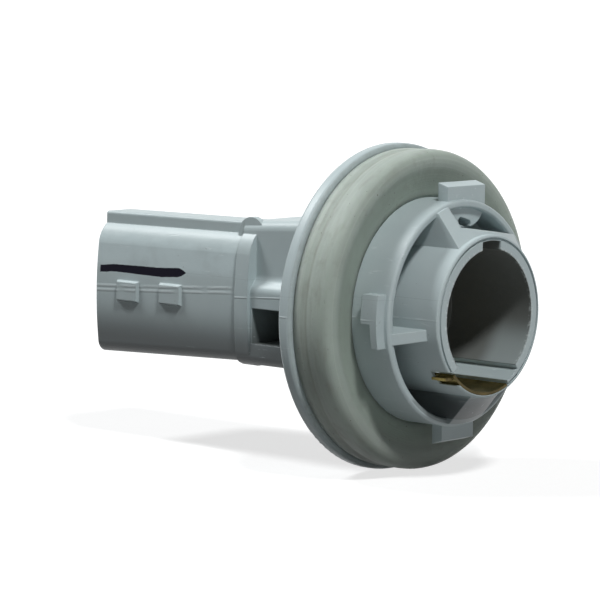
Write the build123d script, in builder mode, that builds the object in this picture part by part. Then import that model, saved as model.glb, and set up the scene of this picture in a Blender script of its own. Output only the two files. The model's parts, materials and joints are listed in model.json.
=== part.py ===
from build123d import *
from math import asin, cos, degrees, radians, sin, sqrt, tan
import os

# Straight bayonet lamp holder for a 15 mm bulb cap, with a sealed two-way
# connector behind it. Millimetres. +X runs along the bulb axis and out of the
# mouth, +Z is up (the side of the connector's rail), and the origin is on the
# axis at the foot of the barrel, just under the gasket's inner face.

# Bulb tube
bore_r = 7.7
tube_r = 9.3
mouth_x = 9.9
bore_floor_x = -1.8
tube_edge_r = 0.3
rim_groove_r = 8.85
rim_groove_w = 0.25
rim_groove_depth = 0.25

# Bayonet tracks for the bulb's two pins
pin_d = 2.0
track_clear = 0.15
track_r = 8.65
track_w = 3.3
track_y = 0.15
pin_seat_x = 3.4
pin_push = 1.4
pin_turn = 25.0
seat_angle = 17.0
seat_lip = 1.7

# Bed of the earth contact in the bottom of the bore
sheet_t = 0.32
bed_r = 9.0
bed_clear = 0.03
shell_left = 45.0
shell_right = 23.0
bed_side_clear = 1.5
side_step_angle = 40.0
side_step_r = 8.35
notch_x = 7.3
notch_low_z = -7.4
notch_high_z = -5.8
ear_inset = 0.3
ear_y = -7.4

# Barrel that turns in the lamp's hole, and its three lugs
barrel_r = 13.0
barrel_x = 5.85
barrel_wall = 0.9
barrel_floor_x = -1.2
barrel_edge_r = 0.3
lug_set_back = 0.7
lug_t = 1.4
lug_ramp = 0.45
top_lug_y = 1.35
top_lug_w = 6.8
top_lug_reach = 14.95
bottom_lug_y = 0.5
bottom_lug_w = 5.7
bottom_lug_reach = 15.0
side_lug_high_z = 3.0
side_lug_step_z = -0.35
side_lug_low_z = -3.1
side_lug_reach = 14.3
side_lug_back_x = 2.8
side_lug_thin_x = 4.15

# Ribs and webs between barrel and tube
rib_tip_x = 9.2
rib_y = -4.0
rib_t = 1.8
left_rib_z = -2.05
left_rib_t = 1.3
left_rib_tip_x = 8.2
left_rib_tilt = 8.0
web_left_z = 10.1
web_right_z = 8.65
web_left_y = -2.6
web_right_y = 8.1
pocket_floor_x = 2.0
pocket_right_angle = 48.0
step_x = 5.2
step_y = 1.8
step_z = 12.6
step_r = 2.75
pocket_hole_l = 2.3
pocket_hole_w = 0.9
pocket_hole_y = 1.0
pocket_hole_z = 10.35
pocket_hole_tilt = -15
bottom_web_left_y = -2.3
bottom_web_right_y = 3.4

# Flange and gasket
flange_r = 19.0
flange_back_x = -5.45
gasket_seat_x = -3.7
flange_edge_r = 0.55
gasket_inset = 0.5
gasket_crest_x = 1.5
gasket_crest_w = 1.0
gasket_corner_r = 0.8
gasket_slope_w = 1.1
gasket_inner_x = 0.45
gasket_groove_depth = 0.45
gasket_groove_w = 0.6
gasket_side_groove_x = -1.8
gasket_back_inset = 0.15

# Neck
neck_top_back_z = 9.15
neck_top_front_z = 10.2
neck_bottom_z = -7.7
neck_half_w = 8.0
neck_corner_r = 1.2
neck_recess = 1.1
neck_recess_low_z = 1.4
neck_recess_slope = 1.1
window_low_z = -5.1
window_high_z = -0.9
window_back_x = -19.3
window_deep_y = 1.2
window_deep_front_x = -15.7
window_shallow_y = 5.6
window_front_x = -10.5

# Connector shroud
shroud_mouth_x = -45.0
collar_back_x = -21.7
collar_front_x = -19.6
collar_step = 0.4
shroud_lean = 1.45
shroud_flare = 1.04
shroud_top_z = 8.3
shroud_bottom_z = -7.5
shroud_top_half = 7.25
shroud_mid_half = 8.05
shroud_bottom_half = 7.5
shroud_mid_z = 0.0
shroud_top_r = 3.4
shroud_bottom_r = 1.5
shroud_wall = 1.25
shroud_floor_x = -24.5
rail_left_y = -6.3
rail_right_y = -1.8
rail_top_z = 9.1
rail_edge_r = 0.35
collar_bump_r = 2.0
collar_bump_out = 0.6
collar_bump_w = 0.8

# Keying lugs on the shroud's side
key_lug_x = (-39.55, -32.4)
key_lug_l = 4.2
key_lug_high_z = 1.5
key_lug_low_z = -1.65
key_lug_out = 0.4
key_lug_taper = 25

# Connector blades
blade_w = 2.3
blade_pitch = 6.8
blade_z = 0.4
blade_tip_x = -39.5
blade_point = 0.2
blade_rise_x = -21.5
tail_z = -6.45
riser_x = -3.4
slot_fit = 0.02

# Sprung centre contact
carrier_r = 6.2
carrier_fit = 0.08
carrier_front_x = -2.5
carrier_t = 1.6
carrier_travel = 3.0
carrier_stop_clear = 0.3
carrier_edge = 0.25
sleeve_r = 4.7
sleeve_wall = 0.8
sleeve_back_x = -9.6
catch_w = 2.6
catch_out = 0.75
catch_l = 1.2
catch_land = 0.3
catch_clear = 0.08
catch_groove_clear = 0.15
split_w = 0.5
sleeve_split_l = 4.0
stud_r = 2.2
stud_flange_r = 3.6
stud_flange_t = 0.5
stud_dome_h = 0.55
pocket_back_x = -15.0
pad_r = 4.6
spring_wire = 0.6
spring_r = 3.1
spring_turns = 6

# Values that follow from those above
barrel_inner_r = barrel_r - barrel_wall
barrel_mid_r = barrel_r - barrel_wall / 2
tube_mid_r = (tube_r + track_r) / 2
lug_front_x = barrel_x - lug_set_back
lug_back_x = lug_front_x - lug_t
pocket_left_angle = -degrees(asin(-rib_y / barrel_mid_r))
left_rib_rise = radians(left_rib_tilt)
left_rib_foot_z = left_rib_z + barrel_mid_r * sin(left_rib_rise)
left_rib_plane = Plane(
    origin=(0, 0, left_rib_foot_z),
    x_dir=(1, 0, 0),
    z_dir=(0, -sin(left_rib_rise), cos(left_rib_rise)),
)
pin_low_x = pin_seat_x - pin_push - pin_d / 2 - track_clear
pin_high_x = pin_seat_x - pin_push + pin_d / 2 + track_clear
seat_high_x = pin_seat_x + pin_d / 2 + track_clear
shell_outer_r = bed_r - bed_clear
shell_inner_r = shell_outer_r - sheet_t
ear_z = (notch_low_z + notch_high_z - sheet_t) / 2
ear_l = mouth_x - notch_x - 2 * ear_inset
ear_root_y = sheet_t / 2 - sqrt(shell_inner_r**2 - (ear_z + sheet_t) ** 2)
earth_y = -blade_pitch / 2
centre_y = blade_pitch / 2
blade_t = 2 * sheet_t
carrier_bore_r = carrier_r + carrier_fit
carrier_back_x = carrier_front_x - carrier_t
carrier_floor_x = carrier_back_x - carrier_travel - carrier_stop_clear
spring_pocket_r = sleeve_r + carrier_fit
catch_front_x = sleeve_back_x + catch_l
catch_stop_x = catch_front_x + catch_clear
catch_r = sleeve_r + catch_out
stud_back_x = carrier_back_x - stud_flange_t
gasket_r = flange_r - gasket_inset
gasket_crest_outer_r = gasket_r - gasket_corner_r
gasket_crest_inner_r = gasket_crest_outer_r - gasket_crest_w
gasket_inner_r = gasket_crest_inner_r - gasket_slope_w
gasket_corner_mid = gasket_corner_r * (1 - cos(radians(45)))
lean_slope = tan(radians(shroud_lean))
lean_length = sqrt(1 + lean_slope**2)
stud_dome_r = (stud_r**2 + stud_dome_h**2) / (2 * stud_dome_h)
pad_front_x = pocket_back_x + blade_t
mouth_cut_x = mouth_x + 1.0
shroud_cut_x = shroud_mouth_x - 1.0


def wedge(inner_r, outer_r, start_deg, end_deg):
    """Ring segment in the plane across the bulb axis; angles from +Z towards +Y."""
    with BuildSketch() as segment:
        Circle(outer_r)
        Circle(inner_r, mode=Mode.SUBTRACT)
        reach = 2 * outer_r
        middle = radians((start_deg + end_deg) / 2)
        start = radians(start_deg)
        end = radians(end_deg)
        with BuildLine():
            Polyline(
                (0, 0),
                (reach * sin(start), reach * cos(start)),
                (reach * 1.5 * sin(middle), reach * 1.5 * cos(middle)),
                (reach * sin(end), reach * cos(end)),
                close=True,
            )
        make_face(mode=Mode.INTERSECT)
    return segment.sketch


def shroud_section(grow, stretch):
    """Outline of the connector shroud, with bulging sides and rounded shoulders."""
    top_z = shroud_top_z * stretch
    bottom_z = shroud_bottom_z * stretch
    with BuildSketch() as section:
        with BuildLine():
            Line((-shroud_top_half, top_z), (shroud_top_half, top_z))
            ThreePointArc(
                (shroud_top_half, top_z),
                (shroud_mid_half, shroud_mid_z),
                (shroud_bottom_half, bottom_z),
            )
            Line((shroud_bottom_half, bottom_z), (-shroud_bottom_half, bottom_z))
            ThreePointArc(
                (-shroud_bottom_half, bottom_z),
                (-shroud_mid_half, shroud_mid_z),
                (-shroud_top_half, top_z),
            )
        make_face()
        fillet(section.vertices().group_by(Axis.Y)[-1], shroud_top_r)
        fillet(section.vertices().group_by(Axis.Y)[0], shroud_bottom_r)
        if grow:
            offset(amount=grow)
    return section.sketch


def lean_z(x):
    """Height that the shroud's slight lean adds at a distance behind the collar."""
    return (x - collar_back_x) * lean_slope


def leaning_plane(x):
    """Plane across the shroud at x, on the shroud's own leaning axis."""
    return Plane(origin=(x, 0, lean_z(x)), x_dir=(0, 1, 0), z_dir=(1, 0, 0))


def rail_section(stretch):
    """Outline of the raised rail on the shroud's top."""
    with BuildSketch() as section:
        with Locations(((rail_left_y + rail_right_y) / 2, rail_top_z * stretch)):
            Rectangle(
                rail_right_y - rail_left_y,
                rail_top_z - shroud_top_z + shroud_top_r,
                align=(Align.CENTER, Align.MAX),
            )
        fillet(section.vertices().group_by(Axis.Y)[-1], rail_edge_r)
    return section.sketch


# Earth contact: a curved shell in the bottom of the bore, folded up behind the
# floor and carried back below the spring pocket to its connector blade
with BuildPart() as earth_contact:
    with BuildSketch(Plane.YZ.offset(bore_floor_x)):
        add(wedge(shell_inner_r, shell_outer_r, 180 - shell_right, 180 + shell_left))
    extrude(amount=mouth_x - bore_floor_x)
    with BuildSketch(Plane.YZ.offset(riser_x)):
        Circle(shell_outer_r)
        Circle(shell_inner_r, mode=Mode.SUBTRACT)
        with Locations((earth_y, -shell_outer_r)):
            Rectangle(blade_w, shell_outer_r, mode=Mode.INTERSECT)
    extrude(amount=bore_floor_x - riser_x + sheet_t)
    with BuildSketch(Plane.YZ.offset(riser_x)):
        Circle(shell_outer_r)
        with Locations((earth_y, tail_z + sheet_t / 2)):
            Rectangle(blade_w, bore_r, align=(Align.CENTER, Align.MAX), mode=Mode.INTERSECT)
    extrude(amount=sheet_t)
    with BuildSketch(Plane.XZ.offset(-earth_y)):
        with BuildLine():
            Polyline(
                (riser_x + sheet_t, tail_z + sheet_t / 2),
                (blade_rise_x + sheet_t, tail_z + sheet_t / 2),
                (blade_rise_x + sheet_t, blade_z + blade_t / 2),
                (blade_tip_x, blade_z + blade_t / 2),
                (blade_tip_x, blade_z - blade_t / 2),
                (blade_rise_x, blade_z - blade_t / 2),
                (blade_rise_x, tail_z - sheet_t / 2),
                (riser_x + sheet_t, tail_z - sheet_t / 2),
                close=True,
            )
        make_face()
    extrude(amount=blade_w / 2, both=True)
    chamfer(earth_contact.faces().sort_by(Axis.X)[0].edges(), blade_point)
    with BuildSketch(Plane.XY.offset(ear_z)):
        with Locations(((notch_x + mouth_x) / 2, ear_y)):
            Rectangle(ear_l, ear_root_y - ear_y, align=(Align.CENTER, Align.MIN))
    extrude(amount=sheet_t)

# Centre terminal: a round pad under the spring, in one piece with its blade
with BuildPart() as centre_terminal:
    with BuildSketch(Plane.YZ.offset(pocket_back_x)):
        Circle(pad_r)
    extrude(amount=blade_t)
    with BuildSketch(Plane.YZ.offset(blade_tip_x)):
        with Locations((centre_y, blade_z)):
            Rectangle(blade_w, blade_t)
    extrude(amount=pocket_back_x - blade_tip_x)
    chamfer(centre_terminal.faces().sort_by(Axis.X)[0].edges(), blade_point)

# Contact carrier: an insulating disc on a split sleeve, whose two catches hold
# it in the neck against the spring
with BuildPart() as contact_carrier:
    with BuildSketch(Plane.YZ.offset(carrier_back_x)):
        Circle(carrier_r)
        Circle(stud_r, mode=Mode.SUBTRACT)
    extrude(amount=carrier_t)
    chamfer(contact_carrier.edges().group_by(Axis.X)[-1].sort_by(SortBy.RADIUS)[-1], carrier_edge)
    with BuildSketch(Plane.YZ.offset(sleeve_back_x)):
        Circle(sleeve_r)
        Circle(sleeve_r - sleeve_wall, mode=Mode.SUBTRACT)
    extrude(amount=carrier_back_x - sleeve_back_x)
    with BuildSketch(Plane.XZ) as catch_profile:
        with BuildLine():
            Polyline(
                (sleeve_back_x, sleeve_r - sleeve_wall / 2),
                (catch_front_x, sleeve_r - sleeve_wall / 2),
                (catch_front_x, catch_r),
                (catch_front_x - catch_land, catch_r),
                (sleeve_back_x, sleeve_r),
                close=True,
            )
        make_face()
        mirror(about=Plane.XZ)
    extrude(amount=catch_w / 2, both=True)
    with BuildSketch(Plane.XY):
        with Locations((sleeve_back_x, catch_w / 2 + split_w / 2), (sleeve_back_x, -catch_w / 2 - split_w / 2)):
            Rectangle(sleeve_split_l, split_w, align=(Align.MIN, Align.CENTER))
    extrude(amount=catch_r, both=True, mode=Mode.SUBTRACT)

# Contact stud: domed head in front, flange against the carrier's back
with BuildPart() as contact_stud:
    with BuildSketch(Plane.XZ):
        with BuildLine():
            Polyline(
                (stud_back_x, 0),
                (stud_back_x, stud_flange_r),
                (carrier_back_x, stud_flange_r),
                (carrier_back_x, stud_r),
                (carrier_front_x, stud_r),
            )
            RadiusArc((carrier_front_x, stud_r), (carrier_front_x + stud_dome_h, 0), stud_dome_r)
            Line((carrier_front_x + stud_dome_h, 0), (stud_back_x, 0))
        make_face()
    revolve(axis=Axis.X)

# Contact spring between the pad and the stud's flange
with BuildPart() as contact_spring:
    with BuildLine() as coil:
        Helix(
            pitch=(stud_back_x - pad_front_x - spring_wire) / spring_turns,
            height=stud_back_x - pad_front_x - spring_wire,
            radius=spring_r,
            center=(pad_front_x + spring_wire / 2, 0, 0),
            direction=(1, 0, 0),
        )
    with BuildSketch(Plane(origin=coil.line @ 0, z_dir=coil.line % 0)):
        Circle(spring_wire / 2)
    sweep()

# Socket housing: shroud, collar, neck, flange, barrel and bulb tube are one
# moulding
with BuildPart() as socket_housing:
    # Flange, boss under the gasket, and the barrel's open ring
    with BuildSketch(Plane.XZ) as body_profile:
        with BuildLine():
            Polyline(
                (flange_back_x, 0),
                (flange_back_x, flange_r),
                (gasket_seat_x, flange_r),
                (gasket_seat_x, barrel_r),
                (barrel_x, barrel_r),
                (barrel_x, barrel_inner_r),
                (barrel_floor_x, barrel_inner_r),
                (barrel_floor_x, 0),
                close=True,
            )
        make_face()
        fillet(body_profile.vertices().group_by(Axis.Y)[-1], flange_edge_r)
        fillet(body_profile.vertices().group_by(Axis.X)[-1], barrel_edge_r)
    revolve(axis=Axis.X)

    # Bulb tube, with a fine groove round its rim
    with BuildSketch(Plane.XZ) as tube_profile:
        with Locations(((barrel_floor_x + mouth_x) / 2, tube_r / 2)):
            Rectangle(mouth_x - barrel_floor_x, tube_r)
        fillet(tube_profile.vertices().group_by(Axis.Y)[-1].sort_by(Axis.X)[-1], tube_edge_r)
        with Locations((mouth_x, rim_groove_r)):
            Rectangle(2 * rim_groove_depth, rim_groove_w, mode=Mode.SUBTRACT)
    revolve(axis=Axis.X)

    # Top and bottom lugs, lower in front
    with BuildSketch(Plane.YZ.offset(lug_back_x)):
        with Locations((top_lug_y, 0)):
            Rectangle(top_lug_w, top_lug_reach, align=(Align.CENTER, Align.MIN))
        with Locations((bottom_lug_y, 0)):
            Rectangle(bottom_lug_w, bottom_lug_reach, align=(Align.CENTER, Align.MAX))
        Circle(barrel_mid_r, mode=Mode.SUBTRACT)
    extrude(amount=lug_t)
    with BuildSketch(Plane.XZ):
        with BuildLine():
            Polyline(
                (lug_back_x, top_lug_reach),
                (lug_front_x, top_lug_reach),
                (lug_front_x, top_lug_reach - lug_ramp),
                close=True,
            )
        make_face()
        with BuildLine():
            Polyline(
                (lug_back_x, -bottom_lug_reach),
                (lug_front_x, -bottom_lug_reach),
                (lug_front_x, -bottom_lug_reach + lug_ramp),
                close=True,
            )
        make_face()
    extrude(amount=barrel_r, both=True, mode=Mode.SUBTRACT)

    # Side lug, thinner in its lower half
    with BuildSketch(Plane.YZ.offset(side_lug_back_x)):
        Circle(side_lug_reach)
        with Locations((0, side_lug_step_z)):
            Rectangle(
                side_lug_reach,
                side_lug_high_z - side_lug_step_z,
                align=(Align.MAX, Align.MIN),
                mode=Mode.INTERSECT,
            )
        Circle(barrel_mid_r, mode=Mode.SUBTRACT)
    extrude(amount=lug_front_x - side_lug_back_x)
    with BuildSketch(Plane.YZ.offset(side_lug_thin_x)):
        Circle(side_lug_reach)
        with Locations((0, side_lug_low_z)):
            Rectangle(
                side_lug_reach,
                side_lug_step_z - side_lug_low_z,
                align=(Align.MAX, Align.MIN),
                mode=Mode.INTERSECT,
            )
        Circle(barrel_mid_r, mode=Mode.SUBTRACT)
    extrude(amount=lug_front_x - side_lug_thin_x)

    # Pocket above the top web: its floor, and the higher step behind the top lug
    with BuildSketch(Plane.YZ.offset(barrel_floor_x)):
        add(wedge(tube_r, barrel_mid_r, pocket_left_angle, pocket_right_angle))
    extrude(amount=pocket_floor_x - barrel_floor_x)
    with BuildSketch(Plane.YZ.offset(barrel_floor_x)):
        add(wedge(tube_r, barrel_mid_r, pocket_left_angle, 0))
        with Locations((step_y / 2, step_z - step_r)):
            Rectangle(step_y, step_r, align=(Align.CENTER, Align.MIN))
        with Locations((step_y, step_z)):
            Circle(step_r)
        Circle(barrel_mid_r, mode=Mode.INTERSECT)
    extrude(amount=step_x - barrel_floor_x)
    with BuildSketch(Plane.YZ.offset(barrel_floor_x)):
        with Locations(Location((pocket_hole_y, pocket_hole_z), pocket_hole_tilt)):
            SlotOverall(pocket_hole_l, pocket_hole_w)
    extrude(amount=barrel_x - barrel_floor_x, mode=Mode.SUBTRACT)

    # Ribs and webs from the barrel to the tube
    with BuildSketch(Plane.YZ.offset(barrel_floor_x)):
        with Locations((rib_y, 0)):
            Rectangle(rib_t, barrel_r, align=(Align.CENTER, Align.MIN))
        with BuildLine():
            Polyline(
                (rib_y, 0),
                (rib_y, web_left_z),
                (web_left_y, web_left_z),
                (web_right_y, web_right_z),
                (web_right_y - rib_t, 0),
                close=True,
            )
        make_face()
        with Locations(((bottom_web_left_y + bottom_web_right_y) / 2, 0)):
            Rectangle(bottom_web_right_y - bottom_web_left_y, barrel_r, align=(Align.CENTER, Align.MAX))
        Circle(barrel_r - barrel_edge_r, mode=Mode.INTERSECT)
        Circle(tube_mid_r, mode=Mode.SUBTRACT)
    extrude(amount=rib_tip_x - barrel_floor_x)
    with BuildSketch(Plane.XZ):
        with BuildLine():
            Polyline(
                (rib_tip_x, tube_r),
                (mouth_cut_x, tube_r),
                (mouth_cut_x, barrel_r),
                (barrel_x, barrel_r),
                close=True,
            )
        make_face()
    revolve(axis=Axis.X, mode=Mode.SUBTRACT)

    # Left rib, tilted up towards the tube
    with BuildSketch(left_rib_plane):
        with BuildLine():
            Polyline(
                (barrel_floor_x, -barrel_mid_r),
                (barrel_x, -barrel_mid_r),
                (left_rib_tip_x, -tube_r),
                (left_rib_tip_x, -tube_mid_r),
                (barrel_floor_x, -tube_mid_r),
                close=True,
            )
        make_face()
    extrude(amount=left_rib_t / 2, both=True)

    # Neck, set in above a sloping ledge, with a window below it on each side
    for neck_x, neck_top_z in ((collar_back_x, neck_top_back_z), (flange_back_x, neck_top_front_z)):
        with BuildSketch(Plane.YZ.offset(neck_x)) as neck_profile:
            with BuildLine():
                Polyline(
                    (0, neck_bottom_z),
                    (neck_half_w, neck_bottom_z),
                    (neck_half_w, neck_recess_low_z),
                    (neck_half_w - neck_recess, neck_recess_low_z + neck_recess_slope),
                    (neck_half_w - neck_recess, neck_top_z),
                    (0, neck_top_z),
                    close=True,
                )
            make_face()
            mirror(about=Plane.YZ)
            fillet(neck_profile.vertices(), neck_corner_r)
    loft(ruled=True)
    with BuildSketch(Plane.XY.offset(window_low_z)):
        with BuildLine():
            Polyline(
                (window_back_x, neck_half_w + 1),
                (window_back_x, window_deep_y),
                (window_deep_front_x, window_deep_y),
                (window_deep_front_x, window_shallow_y),
                (window_front_x, window_shallow_y),
                (window_front_x, neck_half_w + 1),
                close=True,
            )
        make_face()
        mirror(about=Plane.XZ)
    extrude(amount=window_high_z - window_low_z, mode=Mode.SUBTRACT)

    # Connector shroud with its rail, and the collar where it meets the neck
    with BuildSketch(leaning_plane(shroud_mouth_x)):
        add(shroud_section(0, shroud_flare))
        add(rail_section(shroud_flare))
    with BuildSketch(leaning_plane(collar_back_x)):
        add(shroud_section(0, 1))
        add(rail_section(1))
    loft(ruled=True)
    with BuildSketch(Plane.YZ.offset(collar_back_x)):
        add(shroud_section(collar_step, 1))
        add(rail_section(1))
    extrude(amount=collar_front_x - collar_back_x)
    with BuildSketch(leaning_plane(shroud_cut_x)):
        add(shroud_section(-shroud_wall, 1))
    extrude(amount=(shroud_floor_x - shroud_cut_x) * lean_length, dir=(1, 0, lean_slope), mode=Mode.SUBTRACT)
    with BuildSketch(Plane.XZ.offset(-rail_left_y)):
        with Locations(((collar_back_x + collar_front_x) / 2, rail_top_z + collar_bump_out - collar_bump_r)):
            Circle(collar_bump_r)
    extrude(amount=collar_bump_w / 2, both=True)

    # Keying lugs on the near side of the shroud
    for lug_x in key_lug_x:
        with BuildSketch(Plane.XZ.offset(shroud_mid_half - shroud_wall / 2)):
            with Locations((lug_x, (key_lug_high_z + key_lug_low_z) / 2 + lean_z(lug_x))):
                Rectangle(key_lug_l, key_lug_high_z - key_lug_low_z)
        extrude(amount=key_lug_out + shroud_wall / 2, taper=key_lug_taper)

    # Bore for the bulb cap, the carrier's bore behind it and the spring pocket
    with BuildSketch(Plane.XZ):
        with BuildLine():
            Polyline(
                (mouth_cut_x, 0),
                (mouth_cut_x, bore_r),
                (bore_floor_x, bore_r),
                (bore_floor_x, carrier_bore_r),
                (carrier_floor_x, carrier_bore_r),
                (carrier_floor_x, spring_pocket_r),
                (pocket_back_x, spring_pocket_r),
                (pocket_back_x, 0),
                close=True,
            )
        make_face()
    revolve(axis=Axis.X, mode=Mode.SUBTRACT)

    # Bayonet track at the top: entry, turn and seat
    with BuildSketch(Plane.YZ.offset(pin_low_x)):
        with Locations((track_y, 0)):
            Rectangle(track_w, track_r, align=(Align.CENTER, Align.MIN))
        Circle(track_r, mode=Mode.INTERSECT)
    extrude(amount=mouth_cut_x - pin_low_x, mode=Mode.SUBTRACT)
    with BuildSketch(Plane.YZ.offset(pin_low_x)):
        add(wedge(bore_r / 2, track_r, 0, pin_turn + seat_angle / 2))
    extrude(amount=pin_high_x - pin_low_x, mode=Mode.SUBTRACT)
    with BuildSketch(Plane.YZ.offset(pin_low_x)):
        add(wedge(bore_r / 2, track_r, pin_turn - seat_angle / 2, pin_turn + seat_angle / 2))
    extrude(amount=seat_high_x - pin_low_x, mode=Mode.SUBTRACT)

    # Bed of the earth contact, and the step beside it
    with BuildSketch(Plane.YZ.offset(bore_floor_x)):
        add(wedge(bore_r / 2, bed_r, 180 - shell_right - bed_side_clear, 180 + shell_left + bed_side_clear))
        Circle(carrier_bore_r, mode=Mode.SUBTRACT)
    extrude(amount=mouth_cut_x - bore_floor_x, mode=Mode.SUBTRACT)
    with BuildSketch(Plane.YZ.offset(pin_low_x)):
        add(wedge(bore_r / 2, side_step_r, 180 - side_step_angle, 180 - shell_right))
    extrude(amount=mouth_cut_x - pin_low_x, mode=Mode.SUBTRACT)

    # Lip over the bed that holds the bulb's lower pin in its seat
    with BuildSketch(Plane.YZ.offset(seat_high_x)):
        add(wedge(bore_r, shell_inner_r - bed_clear, 180 + pin_turn - seat_angle / 2, 180 + shell_left + 6))
    extrude(amount=seat_lip)

    # Notch through the tube's wall for the contact's ear
    with BuildSketch(Plane.XZ.offset(bore_r / 2)):
        with Locations((notch_x, (notch_low_z + notch_high_z) / 2)):
            Rectangle(mouth_cut_x - notch_x, notch_high_z - notch_low_z, align=(Align.MIN, Align.CENTER))
    extrude(amount=tube_r, mode=Mode.SUBTRACT)

    # Slot behind the bore's floor for the contact's fold
    with BuildSketch(Plane.YZ.offset(riser_x)):
        Circle(bed_r)
        with Locations((earth_y, tail_z + sheet_t / 2)):
            Rectangle(blade_w + 2 * slot_fit, bore_r, align=(Align.CENTER, Align.MAX), mode=Mode.INTERSECT)
    extrude(amount=bore_floor_x - riser_x, mode=Mode.SUBTRACT)

    # Grooves for the carrier's catches
    with BuildSketch(Plane.XY.offset(-catch_r - catch_groove_clear)):
        with Locations((catch_stop_x, 0)):
            Rectangle(catch_l + carrier_travel + 2 * carrier_stop_clear, catch_w + 2 * catch_groove_clear,
                      align=(Align.MAX, Align.CENTER))
    extrude(amount=2 * (catch_r + catch_groove_clear), mode=Mode.SUBTRACT)

    # The two terminals are moulded in
    add(earth_contact.part, mode=Mode.SUBTRACT)
    add(centre_terminal.part, mode=Mode.SUBTRACT)

# Gasket stretched over the boss, seated on the flange
with BuildPart() as gasket:
    with BuildSketch(Plane.XZ) as gasket_profile:
        with BuildLine():
            Polyline(
                (gasket_crest_x, gasket_crest_outer_r),
                (gasket_crest_x, gasket_crest_inner_r),
                (gasket_inner_x, gasket_inner_r),
                (gasket_inner_x, barrel_r),
                (gasket_seat_x, barrel_r),
                (gasket_seat_x, gasket_r - gasket_back_inset),
            )
            ThreePointArc(
                (gasket_seat_x, gasket_r - gasket_back_inset),
                ((gasket_seat_x + gasket_side_groove_x) / 2, gasket_r),
                (gasket_side_groove_x, gasket_r - gasket_groove_depth),
            )
            Polyline(
                (gasket_side_groove_x, gasket_r - gasket_groove_depth),
                (gasket_side_groove_x + gasket_groove_w, gasket_r),
                (gasket_crest_x - gasket_corner_r, gasket_r),
            )
            ThreePointArc(
                (gasket_crest_x - gasket_corner_r, gasket_r),
                (gasket_crest_x - gasket_corner_mid, gasket_r - gasket_corner_mid),
                (gasket_crest_x, gasket_crest_outer_r),
            )
        make_face()
    revolve(axis=Axis.X)

os.makedirs("parts", exist_ok=True)
socket_housing.part.label = "socket_housing"
export_step(socket_housing.part, "parts/socket_housing.step")
gasket.part.label = "gasket"
export_step(gasket.part, "parts/gasket.step")
earth_contact.part.label = "earth_contact"
export_step(earth_contact.part, "parts/earth_contact.step")
centre_terminal.part.label = "centre_terminal"
export_step(centre_terminal.part, "parts/centre_terminal.step")
contact_carrier.part.label = "contact_carrier"
export_step(contact_carrier.part, "parts/contact_carrier.step")
contact_stud.part.label = "contact_stud"
export_step(contact_stud.part, "parts/contact_stud.step")
contact_spring.part.label = "contact_spring"
export_step(contact_spring.part, "parts/contact_spring.step")
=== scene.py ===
import bmesh
import bpy
import json
from math import pi, radians
from mathutils import Matrix, Vector


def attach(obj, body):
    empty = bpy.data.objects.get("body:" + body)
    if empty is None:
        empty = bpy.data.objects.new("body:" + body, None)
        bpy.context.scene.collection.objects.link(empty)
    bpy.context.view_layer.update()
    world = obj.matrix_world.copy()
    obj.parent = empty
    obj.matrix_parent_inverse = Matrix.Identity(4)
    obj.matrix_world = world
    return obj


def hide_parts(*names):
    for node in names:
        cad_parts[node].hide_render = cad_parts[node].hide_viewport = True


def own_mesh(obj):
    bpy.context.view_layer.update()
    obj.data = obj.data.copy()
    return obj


# Bayonet lamp holder. The frame is the CAD's, in metres: +X out of the bulb
# tube's mouth, +Z up. Lengths below are in millimetres until they reach Blender.
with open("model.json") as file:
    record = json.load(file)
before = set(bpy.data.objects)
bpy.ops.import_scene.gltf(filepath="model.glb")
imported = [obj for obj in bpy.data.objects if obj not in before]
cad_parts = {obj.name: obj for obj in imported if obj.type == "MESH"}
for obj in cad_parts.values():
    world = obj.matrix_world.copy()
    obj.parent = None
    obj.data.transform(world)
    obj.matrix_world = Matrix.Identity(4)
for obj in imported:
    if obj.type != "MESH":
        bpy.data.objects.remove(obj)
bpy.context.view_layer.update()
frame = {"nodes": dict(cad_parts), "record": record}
MM = 0.001

# Places on the solids in millimetres, as part.py has them
SHROUD_MOUTH_X = -45.0
COLLAR_BACK_X = -21.7
WINDOW_X = (-19.3, -10.5)
WINDOW_Z = (-5.1, -0.9)
NECK_HALF_W = 8.0
FLANGE_BACK_X = -5.45
GASKET_SEAT_X = -3.7
MOUTH_X = 9.9
BORE_R = 7.7
TUBE_R = 9.3
BARREL_INNER_R = 12.1
BARREL_R = 13.0
FLANGE_R = 19.0

# A Mix node's own numbers for its factor, its two colours and the colour it gives
MIX_FACTOR = 0
MIX_FIRST = 6
MIX_SECOND = 7
MIX_RESULT = 2


# Shader maths
class Wire:
    """One value in a finish. Python's operators on it add Math nodes."""

    def __init__(self, finish, socket):
        self.finish = finish
        self.socket = socket

    def math(self, operation, *values):
        return self.finish.node("ShaderNodeMath", {"operation": operation}, *values)

    def __add__(self, other):
        return self.math("ADD", self, other)

    __radd__ = __add__

    def __sub__(self, other):
        return self.math("SUBTRACT", self, other)

    def __rsub__(self, other):
        return self.math("SUBTRACT", other, self)

    def __mul__(self, other):
        return self.math("MULTIPLY", self, other)

    __rmul__ = __mul__

    def __pow__(self, other):
        return self.math("POWER", self, other)

    def __abs__(self):
        return self.math("ABSOLUTE", self)

    def rise(self, low, high):
        """0 below low, 1 above high, with a soft step between them."""
        settings = {"interpolation_type": "SMOOTHSTEP"}
        return self.finish.node("ShaderNodeMapRange", settings, self, low, high)

    def fall(self, low, high):
        return 1 - self.rise(low, high)

    def band(self, low, high, soft):
        """1 between low and high, fading out over soft on both sides."""
        return self.rise(low - soft, low) * self.fall(high, high + soft)


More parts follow.
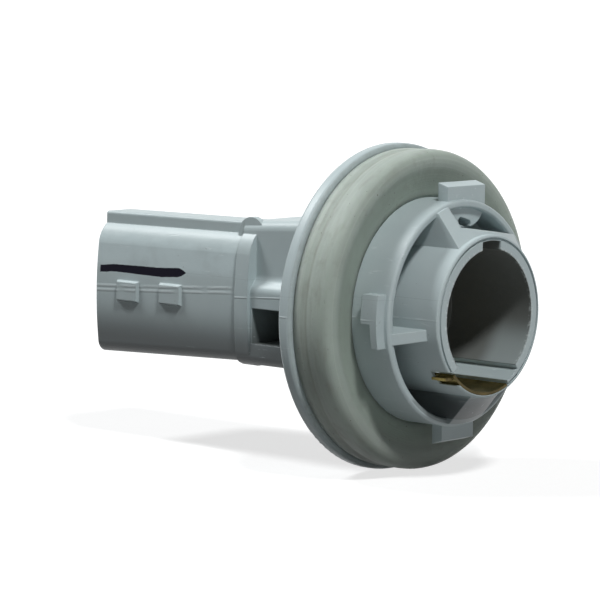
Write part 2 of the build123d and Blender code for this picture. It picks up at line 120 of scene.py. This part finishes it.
class Finish:
    """A material: its nodes, the place on the piece in millimetres, and its shader."""

    def __init__(self, name, **fixed):
        self.material = bpy.data.materials.new(name)
        self.material.use_nodes = True
        self.tree = self.material.node_tree
        self.tree.nodes.clear()
        output = self.tree.nodes.new("ShaderNodeOutputMaterial")
        self.shader = self.tree.nodes.new("ShaderNodeBsdfPrincipled")
        self.tree.links.new(self.shader.outputs["BSDF"], output.inputs["Surface"])
        for socket, value in fixed.items():
            self.shader.inputs[socket.replace("_", " ")].default_value = value
        here = self.node("ShaderNodeTexCoord", out="Object")
        self.place = self.node("ShaderNodeVectorMath", {"operation": "SCALE"}, here, Scale=1 / MM)
        parts = self.node("ShaderNodeSeparateXYZ", None, self.place, out=("X", "Y", "Z"))
        self.x, self.y, self.z = parts
        self.r = (self.y * self.y + self.z * self.z) ** 0.5

    def node(self, kind, settings=None, *values, out=0, **named):
        """Add a node: settings first, then the values or links of its sockets."""
        node = self.tree.nodes.new(kind)
        for key, value in (settings or {}).items():
            setattr(node, key, value)
        pairs = list(enumerate(values))
        pairs += [(key.replace("_", " "), value) for key, value in named.items()]
        for key, value in pairs:
            if isinstance(value, Wire):
                self.tree.links.new(value.socket, node.inputs[key])
            else:
                node.inputs[key].default_value = value
        if isinstance(out, tuple):
            return [Wire(self, node.outputs[one]) for one in out]
        return Wire(self, node.outputs[out])

    def noise(self, scale, detail=3.0, stretch=(1, 1, 1), seed=0.0):
        """Noise of about 0 to 1, with scale in features a millimetre."""
        shift = (seed, seed, seed)
        where = self.node("ShaderNodeMapping", None, self.place, Location=shift, Scale=stretch)
        return self.node("ShaderNodeTexNoise", None, Vector=where, Scale=scale, Detail=detail)

    def mix(self, factor, first, second):
        """Mix two colours, each a wire or its red, green and blue."""
        node = self.tree.nodes.new("ShaderNodeMix")
        node.data_type = "RGBA"
        for key, value in ((MIX_FACTOR, factor), (MIX_FIRST, first), (MIX_SECOND, second)):
            if isinstance(value, Wire):
                self.tree.links.new(value.socket, node.inputs[key])
            else:
                node.inputs[key].default_value = (*value, 1)
        return Wire(self, node.outputs[MIX_RESULT])

    def set(self, socket, wire):
        self.tree.links.new(wire.socket, self.shader.inputs[socket])

    def bump(self, height, soften=None):
        """Relief from a height in millimetres, over rounded edges where soften is given."""
        named = {"Height": height, "Distance": MM, "Strength": 1.0}
        if soften:
            named["Normal"] = self.node("ShaderNodeBevel", {"samples": 6}, Radius=soften * MM)
        self.set("Normal", self.node("ShaderNodeBump", None, **named))


# Finishes
def housing_finish():
    """Light cool-grey moulded nylon: parting lines, dark corners, an ink stroke, guessed scuffs.

    The paler band on the shroud's shoulder is painted highlight. The darker lower shroud and neck,
    the darker lower ring between tube and barrel, the darker web under the tube, the darker inside
    of the window and the dark bore are painted shade. None of them is dirt or wear: they stand for
    shade and light that the photograph has and the lamps below don't give, so they look painted on
    in other light. Deep in the moat the dark corners are painted shade too; whether the other dark
    corners are dirt or shade, the photograph doesn't tell.
    """
    f = Finish("grey_moulded_nylon", IOR=1.5, Specular_IOR_Level=0.38)
    cloud = f.noise(0.09, 2.0, seed=3.0)
    mottle = f.noise(0.55, 4.0, seed=11.0)
    grain = f.noise(9.0, 3.0)
    facing = f.node("ShaderNodeNewGeometry", out="Normal")
    facing_x = abs(f.node("ShaderNodeSeparateXYZ", None, facing, out="X"))
    behind = f.x.fall(FLANGE_BACK_X - 0.15, FLANGE_BACK_X + 0.05)
    shroud = f.x.fall(COLLAR_BACK_X - 0.1, COLLAR_BACK_X)
    outside = f.r.rise(TUBE_R - 0.15, TUBE_R - 0.1) + behind * abs(f.y).rise(6.6, 6.8)
    outside = outside.rise(0.0, 1.0) * facing_x.fall(0.4, 0.7)
    waver = f.noise(0.22, 1.0, seed=5.0) * 0.16 - 0.08
    level = 0.12 + behind * (0.12 + (f.x + 21.0) * 0.06) + shroud * 0.75
    seam = abs(abs(f.z - level + waver) - shroud * 0.28).fall(0.02, 0.15 + shroud * 0.12) * outside
    seam = seam * f.noise(0.5, 2.0, seed=21.0).rise(0.3, 0.52)
    colour = f.mix(cloud.rise(0.3, 0.7), (0.415, 0.492, 0.505), (0.440, 0.515, 0.525))
    colour = f.mix(mottle.rise(0.35, 0.75) * 0.3, colour, (0.47, 0.545, 0.55))
    ring = f.r.band(TUBE_R + 0.05, BARREL_INNER_R - 0.05, 0.05) * f.x.rise(GASKET_SEAT_X, GASKET_SEAT_X + 0.2)
    moat = f.x.fall(-1.2, 4.5) * ring
    # Painted shade: the ring between tube and barrel darkens over its lower half and at the bottom
    pit_shade = f.z.fall(-6.5, -1.5) * f.x.fall(3.0, 8.8) + f.z.fall(-10.5, -9.0) * 0.6
    pit_shade = ring * pit_shade.rise(0.0, 1.0)
    # Painted shade: the web under the tube, between tube and barrel, darkens towards the front
    strut_shade = f.r.band(TUBE_R + 0.1, BARREL_INNER_R + 0.5, 0.1) * f.z.fall(-9.5, -8.8) * f.x.rise(2.0, 7.5)
    heel = f.x.band(-0.6, 0.25, 0.8) * f.r.band(BARREL_R - 0.1, BARREL_R + 0.4, 0.3)
    collar = f.x.band(COLLAR_BACK_X - 0.25, COLLAR_BACK_X - 0.02, 0.15) * 0.8
    root = f.x.band(FLANGE_BACK_X - 0.15, FLANGE_BACK_X + 0.05, 0.5) * f.r.fall(12.0, 13.5)
    joint = f.x.band(GASKET_SEAT_X - 0.2, GASKET_SEAT_X + 0.1, 0.12)
    joint = joint * f.r.rise(FLANGE_R - 1.4, FLANGE_R - 0.8)
    # Darker, rougher corners: the moat between tube and barrel, where it is painted shade, and the barrel's
    # heel, the collar's back edge, the flange's root and the gasket seat
    corners = (moat + heel * 0.7 + collar + root * 0.8 + joint * 0.9) * (f.noise(0.8, 4.0, seed=31.0) * 1.3)
    corners = corners.rise(0.1, 1.1)
    # Painted highlight: a paler, patchy band along the shroud's shoulder, also a little glossier
    shoulder_highlight = shroud * f.z.band(3.0, 5.4, 1.3) * f.noise(0.35, 3.0, seed=41.0).rise(0.15, 0.6)
    colour = f.mix(shoulder_highlight * 0.55, colour, (0.585, 0.695, 0.715))
    colour = f.mix(corners * 0.45, colour, (0.20, 0.225, 0.20))
    # Painted shade: the shroud and neck grow darker towards the bottom
    low = f.z.fall(-6.4, -1.0) * f.x.fall(-6.0, -5.5)
    colour = f.mix(low * 0.90, colour, (0.068, 0.078, 0.080))
    colour = f.mix(pit_shade * 0.72, colour, (0.060, 0.064, 0.064))
    colour = f.mix(strut_shade * 0.66, colour, (0.040, 0.046, 0.048))
    # Painted shade: the inside of the neck's window is darkened
    window_shade = f.x.band(WINDOW_X[0] - 0.1, WINDOW_X[1] + 0.1, 0.03)
    window_shade = window_shade * f.z.band(WINDOW_Z[0] - 0.1, WINDOW_Z[1] + 0.1, 0.03)
    window_shade = window_shade * abs(f.y).fall(NECK_HALF_W - 0.25, NECK_HALF_W - 0.05)
    colour = f.mix(window_shade * 0.5, colour, (0.08, 0.085, 0.08))
    inside = f.r.fall(8.7, 8.76) * f.z.rise(5.0, 5.5) * f.x.fall(MOUTH_X - 0.4, MOUTH_X - 0.05)
    inside = f.r.fall(BORE_R + 0.02, BORE_R + 0.1) + inside
    bore_shade = inside.rise(0.0, 1.0) * (f.z.rise(-4.0, 3.0) + f.x.fall(1.0, 6.5) + 0.5).rise(0.0, 1.0)
    colour = f.mix(bore_shade * f.x.rise(-3.0, -2.6) * 0.8, colour, (0.085, 0.080, 0.068))
    speck = f.noise(2.6, 2.0, seed=47.0).rise(0.70, 0.76) * f.noise(0.3, 1.0, seed=51.0).rise(0.45, 0.6)
    colour = f.mix(speck * 0.35, colour, (0.17, 0.18, 0.16))
    scuff = f.noise(0.9, 5.0, stretch=(0.35, 2.2, 2.2), seed=61.0).rise(0.63, 0.72)
    scuff = scuff * f.noise(0.16, 1.0, seed=71.0).rise(0.5, 0.62) * f.r.rise(7.9, 8.4)
    colour = f.mix(scuff * 0.45, colour, (0.66, 0.72, 0.73))
    colour = f.mix(seam * 0.32, colour, (0.70, 0.76, 0.77))
    pale_edge = f.x.rise(MOUTH_X - 0.45, MOUTH_X - 0.1) * f.r.band(BORE_R, BORE_R + 0.3, 0.12)
    pale_edge = pale_edge * f.noise(2.2, 5.0, seed=91.0).rise(0.46, 0.66)
    colour = f.mix(pale_edge * 0.6, colour, (0.60, 0.67, 0.67))
    line = 1.9 + f.x.rise(SHROUD_MOUTH_X, SHROUD_MOUTH_X + 3.5) * 0.27 + f.x.rise(-35.0, -30.0) * 0.25
    width = 0.46 + f.x.rise(-44.0, -33.0) * 0.11 + f.noise(1.1, 2.0, seed=81.0) * 0.08 - 0.04
    width = width * (f.x.fall(-31.5, -29.95) ** 0.5)
    ink = (abs(f.z - line) - width).fall(-0.05, 0.03) * f.x.rise(-44.6, -44.35) * f.y.fall(-7.0, -6.5)
    colour = f.mix(ink, colour, (0.0065, 0.0060, 0.0110))
    f.set("Base Color", colour)
    # Plastic isn't black enough under the stroke, so the ink is shaded as a dark metal
    f.set("Metallic", ink)
    tube = f.r.band(TUBE_R - 0.4, TUBE_R, 0.1) * f.x.rise(0.0, 1.0)
    f.set("Roughness", 0.36 + mottle * 0.06 + corners * 0.25 + scuff * 0.15 + tube * 0.26 - shoulder_highlight * 0.10)
    height = grain * 0.005 + mottle * (0.010 + shoulder_highlight * 0.03) + seam * 0.030
    height = height - scuff * 0.008 - pale_edge * 0.03
    f.bump(height, soften=0.16)
    return f.material


def gasket_finish():
    """Greenish off-white silicone, slightly see-through, with faint smears and dark specks.

    The darker inner face, lower half and creases are painted shade that stands for shade in the
    photograph, like the housing's darker lower side and lower ring.
    """
    f = Finish(
        "milky_silicone",
        IOR=1.41,
        Subsurface_Weight=0.6,
        Subsurface_Radius=(0.9, 1.0, 0.85),
        Subsurface_Scale=0.0022,
    )
    cloud = f.noise(0.14, 3.0, seed=2.0)
    mottle = f.noise(0.8, 4.0, seed=9.0)
    rings = f.node("ShaderNodeCombineXYZ", None, f.x * 3.0, f.r * 3.0, f.noise(0.05, 1.0))
    ring_marks = f.node("ShaderNodeTexNoise", None, Vector=rings, Scale=0.9, Detail=3.0)
    colour = f.mix(cloud.rise(0.3, 0.7), (0.318, 0.368, 0.334), (0.362, 0.418, 0.378))
    colour = f.mix(ring_marks.rise(0.4, 0.8) * 0.4, colour, (0.46, 0.52, 0.47))
    # Painted shade: the front face inside the lobes is darkened
    inner_shade = f.r.fall(15.9, 16.7) * f.x.rise(-0.5, 0.0)
    colour = f.mix(inner_shade * 0.55, colour, (0.265, 0.322, 0.270))
    lower_shade = f.z.fall(-14.0, -5.0) * f.x.rise(0.7, 1.2)
    colour = f.mix(lower_shade * 0.45, colour, (0.200, 0.222, 0.198))
    foot = f.r.fall(13.05, 13.9) * inner_shade
    colour = f.mix(foot * 0.4, colour, (0.17, 0.19, 0.16))
    # Painted shade: the gasket darkens along its side groove and where it sits on the flange
    creases = f.x.band(-1.9, -1.7, 0.12) + f.x.band(GASKET_SEAT_X, GASKET_SEAT_X + 0.2, 0.2)
    creases = creases * f.r.rise(17.2, 17.5)
    colour = f.mix(creases.rise(0.0, 1.0) * 0.22, colour, (0.24, 0.25, 0.20))
    blotches = mottle.rise(0.52, 0.75) * cloud.rise(0.35, 0.6)
    colour = f.mix(blotches * 0.32, colour, (0.24, 0.25, 0.22))
    smear = f.noise(0.5, 3.0, stretch=(2.6, 0.6, 0.6), seed=27.0).rise(0.48, 0.72) * f.r.rise(16.8, 17.6)
    colour = f.mix(smear * 0.34, colour, (0.235, 0.245, 0.215))
    speck = f.noise(3.1, 1.0, seed=17.0).rise(0.73, 0.77) * f.noise(0.35, 1.0, seed=19.0).rise(0.45, 0.6)
    colour = f.mix(speck * 0.7, colour, (0.10, 0.09, 0.06))
    f.set("Base Color", colour)
    f.set("Roughness", 0.46 + mottle * 0.18)
    f.bump(mottle * 0.05 + ring_marks * 0.05 + f.noise(6.0, 2.0) * 0.008)
    return f.material


def brass_finish():
    """Thin brass sheet gone dull and olive, with brighter streaks along it and a dark cut end."""
    f = Finish("dulled_brass", Metallic=1.0)
    tarnish = f.noise(0.45, 4.0, seed=4.0)
    rolled = f.noise(2.2, 2.0, stretch=(0.15, 2.0, 2.0), seed=8.0)
    colour = f.mix(tarnish.rise(0.35, 0.65), (0.25, 0.20, 0.075), (0.12, 0.105, 0.04))
    colour = f.mix(f.noise(1.6, 3.0, seed=13.0).rise(0.58, 0.75) * 0.6, colour, (0.06, 0.038, 0.016))
    colour = f.mix(rolled.rise(0.5, 0.8) * 0.25, colour, (0.36, 0.30, 0.13))
    facing = f.node("ShaderNodeNewGeometry", out="Normal")
    cut_edge = f.node("ShaderNodeSeparateXYZ", None, facing, out="X").rise(0.7, 0.95) * f.x.rise(8.0, 9.0)
    colour = f.mix(cut_edge * 0.75, colour, (0.050, 0.036, 0.018))
    f.set("Base Color", colour)
    f.set("Roughness", 0.30 + tarnish * 0.3)
    f.bump(rolled * 0.006 + tarnish * 0.02, soften=0.06)
    return f.material


def carrier_finish():
    """Dark brown-black insulating plastic of the contact carrier."""
    f = Finish("dark_insulator", IOR=1.5)
    mottle = f.noise(0.9, 4.0, seed=6.0)
    dust = f.noise(2.0, 3.0, seed=16.0).rise(0.55, 0.8)
    colour = f.mix(mottle.rise(0.3, 0.7), (0.040, 0.034, 0.030), (0.068, 0.058, 0.050))
    f.set("Base Color", f.mix(dust * 0.3, colour, (0.16, 0.15, 0.13)))
    f.set("Roughness", 0.42 + mottle * 0.2)
    f.bump(mottle * 0.02 + f.noise(8.0, 2.0) * 0.005, soften=0.08)
    return f.material


def spring_finish():
    """Drawn steel wire, finely pitted and a little stained."""
    f = Finish("drawn_steel_wire", Metallic=1.0)
    stain = f.noise(1.1, 3.0, seed=7.0)
    colour = f.mix(stain.rise(0.4, 0.7), (0.56, 0.56, 0.55), (0.36, 0.34, 0.31))
    f.set("Base Color", colour)
    f.set("Roughness", 0.26 + stain * 0.2)
    f.bump(f.noise(7.0, 2.0) * 0.004)
    return f.material


FINISHES = {
    "housing_plastic": housing_finish(),
    "gasket_silicone": gasket_finish(),
    "contact_brass": brass_finish(),
    "carrier_plastic": carrier_finish(),
    "spring_steel": spring_finish(),
}

slot_of = {part["node"]: part["material_slot"] for part in frame["record"]["subparts"]}
for node, slot in slot_of.items():
    for holder in frame["nodes"][node].material_slots:
        holder.material = FINISHES[slot]


# Gasket
def build_gasket():
    """Three-lobed silicone ring, spun from its profile, with slightly uneven lobes."""
    profile = [
        (-3.7, 13.0), (-3.7, 15.6), (-3.7, 18.2), (-3.62, 18.33), (-3.3, 18.42), (-2.75, 18.48),
        (-2.3, 18.42), (-2.0, 18.33), (-1.8, 18.28), (-1.6, 18.32), (-1.3, 18.42), (-0.9, 18.48),
        (-0.3, 18.5), (0.4, 18.46), (0.8, 18.34), (1.1, 18.14), (1.32, 17.86), (1.44, 17.55),
        (1.49, 17.2), (1.47, 16.9), (1.41, 16.6), (1.31, 16.3), (1.20, 16.0), (1.09, 15.65),
        (0.98, 15.25), (0.86, 14.8), (0.74, 14.3), (0.64, 13.8), (0.55, 13.4), (0.50, 13.0),
    ]
    mesh = bmesh.new()
    points = [mesh.verts.new((x * MM, 0, r * MM)) for x, r in profile]
    edges = [mesh.edges.new(pair) for pair in zip(points, points[1:] + points[:1])]
    bmesh.ops.spin(
        mesh, geom=points + edges, cent=(0, 0, 0), axis=(1, 0, 0), angle=2 * pi, steps=160, use_merge=True
    )
    bmesh.ops.remove_doubles(mesh, verts=mesh.verts, dist=1e-7)
    bmesh.ops.recalc_face_normals(mesh, faces=mesh.faces)
    data = bpy.data.meshes.new("gasket_ring")
    mesh.to_mesh(data)
    mesh.free()
    data.shade_smooth()
    ring = bpy.data.objects.new("gasket_ring", data)
    bpy.context.collection.objects.link(ring)
    data.materials.append(FINISHES["gasket_silicone"])
    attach(ring, "socket")
    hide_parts("gasket")


build_gasket()


# Spring
def build_spring():
    """The CAD's coil as a piece of its own, in place of the CAD node."""
    turns = frame["nodes"]["contact_spring"].data.copy()
    coil = bpy.data.objects.new("spring_coil", turns)
    bpy.context.collection.objects.link(coil)
    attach(coil, "socket")
    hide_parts("contact_spring")
    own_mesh(coil)


build_spring()


# Stage
# Where the floor's bounce rises, from under the gasket to under the tube's mouth
BOUNCE_X = (-2.0, 8.0)


def seen_ray(tree):
    """1 for a ray from the camera, a mirror or glass, 0 for light that bounces."""
    path = tree.nodes.new("ShaderNodeLightPath")
    total = path.outputs["Is Camera Ray"]
    for ray in ("Is Glossy Ray", "Is Transmission Ray"):
        either = tree.nodes.new("ShaderNodeMath")
        either.operation = "MAXIMUM"
        tree.links.new(total, either.inputs[0])
        tree.links.new(path.outputs[ray], either.inputs[1])
        total = either.outputs[0]
    return total


def white_to_camera(name, bounce, shade, glow_strength):
    """Floor that looks white and keeps the object's shadow.

    Bounce is how much light it throws up behind BOUNCE_X and ahead of it, with an even rise
    between. No real floor does that: it is there for the match with the photograph.
    """
    material = bpy.data.materials.new(name)
    material.use_nodes = True
    nodes = material.node_tree.nodes
    links = material.node_tree.links
    nodes.clear()
    output = nodes.new("ShaderNodeOutputMaterial")
    dull = nodes.new("ShaderNodeBsdfDiffuse")
    place = nodes.new("ShaderNodeTexCoord")
    split = nodes.new("ShaderNodeSeparateXYZ")
    ahead = nodes.new("ShaderNodeMapRange")
    for socket, value in zip(ahead.inputs[1:5], (BOUNCE_X[0] * MM, BOUNCE_X[1] * MM, *bounce)):
        socket.default_value = value
    links.new(place.outputs["Object"], split.inputs[0])
    links.new(split.outputs["X"], ahead.inputs[0])
    links.new(ahead.outputs[0], dull.inputs["Color"])
    matt = nodes.new("ShaderNodeBsdfDiffuse")
    matt.inputs["Color"].default_value = (shade, shade, shade, 1)
    glow = nodes.new("ShaderNodeEmission")
    glow.inputs["Color"].default_value = (1, 1, 1, 1)
    glow.inputs["Strength"].default_value = glow_strength
    both = nodes.new("ShaderNodeAddShader")
    choose = nodes.new("ShaderNodeMixShader")
    links.new(matt.outputs[0], both.inputs[0])
    links.new(glow.outputs[0], both.inputs[1])
    links.new(seen_ray(material.node_tree), choose.inputs[0])
    links.new(dull.outputs[0], choose.inputs[1])
    links.new(both.outputs[0], choose.inputs[2])
    links.new(choose.outputs[0], output.inputs["Surface"])
    return material


# The floor lies just under the flange and reaches far past the object
FLOOR_Z = -FLANGE_R - 0.02
FLOOR_HALF = 6000.0
floor_mesh = bmesh.new()
bmesh.ops.create_grid(floor_mesh, x_segments=1, y_segments=1, size=FLOOR_HALF * MM)
bmesh.ops.translate(floor_mesh, verts=floor_mesh.verts, vec=(0, 0, FLOOR_Z * MM))
floor_data = bpy.data.meshes.new("floor")
floor_mesh.to_mesh(floor_data)
floor_mesh.free()
floor = bpy.data.objects.new("floor", floor_data)
bpy.context.collection.objects.link(floor)
pale_floor = white_to_camera("pale_floor", bounce=(0.03, 0.38), shade=0.42, glow_strength=0.72)
floor_data.materials.append(pale_floor)

world = bpy.data.worlds.new("studio")
bpy.context.scene.world = world
world.use_nodes = True
sky = world.node_tree.nodes
sky.clear()
sky_links = world.node_tree.links
sky_out = sky.new("ShaderNodeOutputWorld")
soft = sky.new("ShaderNodeBackground")
soft.inputs["Color"].default_value = (0.95, 0.98, 1.0, 1)
soft.inputs["Strength"].default_value = 0.055
plain = sky.new("ShaderNodeBackground")
plain.inputs["Color"].default_value = (1, 1, 1, 1)
plain.inputs["Strength"].default_value = 1.0
sky_mix = sky.new("ShaderNodeMixShader")
sky_links.new(seen_ray(world.node_tree), sky_mix.inputs[0])
sky_links.new(soft.outputs[0], sky_mix.inputs[1])
sky_links.new(plain.outputs[0], sky_mix.inputs[2])
sky_links.new(sky_mix.outputs[0], sky_out.inputs["Surface"])


def lamp_from(name, direction, strength, spread, colour=(1, 1, 1)):
    """Distant soft lamp that shines from a direction, with its apparent width in degrees."""
    lamp = bpy.data.lights.new(name, "SUN")
    lamp.energy = strength
    lamp.angle = radians(spread)
    lamp.color = colour
    holder = bpy.data.objects.new(name, lamp)
    bpy.context.collection.objects.link(holder)
    holder.rotation_euler = Vector(direction).to_track_quat("Z", "Y").to_euler()


COOL_WHITE = (0.97, 0.99, 1.0)
lamp_from("key_lamp", (0.52, -0.25, 0.82), strength=2.1, spread=9.0)
lamp_from("rear_lamp", (-0.58, -0.24, 0.78), strength=2.1, spread=18.0, colour=COOL_WHITE)
lamp_from("front_fill", (0.80, -0.58, 0.15), strength=0.10, spread=40.0, colour=COOL_WHITE)


# Camera
# Fitted to the photograph: the camera's place in metres, and the ways its right and back point
CAMERA_PLACE = (0.23210, -0.28429, 0.04087)
CAMERA_RIGHT = (0.7487, 0.6627, 0.0134)
CAMERA_BACK = (0.6578, -0.7454, 0.1084)
camera_data = bpy.data.cameras.new("camera")
camera_data.sensor_width = 36.0
camera_data.lens = 192.0
camera_data.clip_start = 0.01
camera_data.clip_end = 20.0
camera = bpy.data.objects.new("camera", camera_data)
bpy.context.collection.objects.link(camera)
right = Vector(CAMERA_RIGHT).normalized()
back = Vector(CAMERA_BACK).normalized()
up = back.cross(right).normalized()
right = up.cross(back).normalized()
turn = Matrix((right, up, back)).transposed().to_4x4()
camera.matrix_world = Matrix.Translation(CAMERA_PLACE) @ turn
bpy.context.scene.camera = camera
bpy.context.scene.view_settings.view_transform = "Standard"
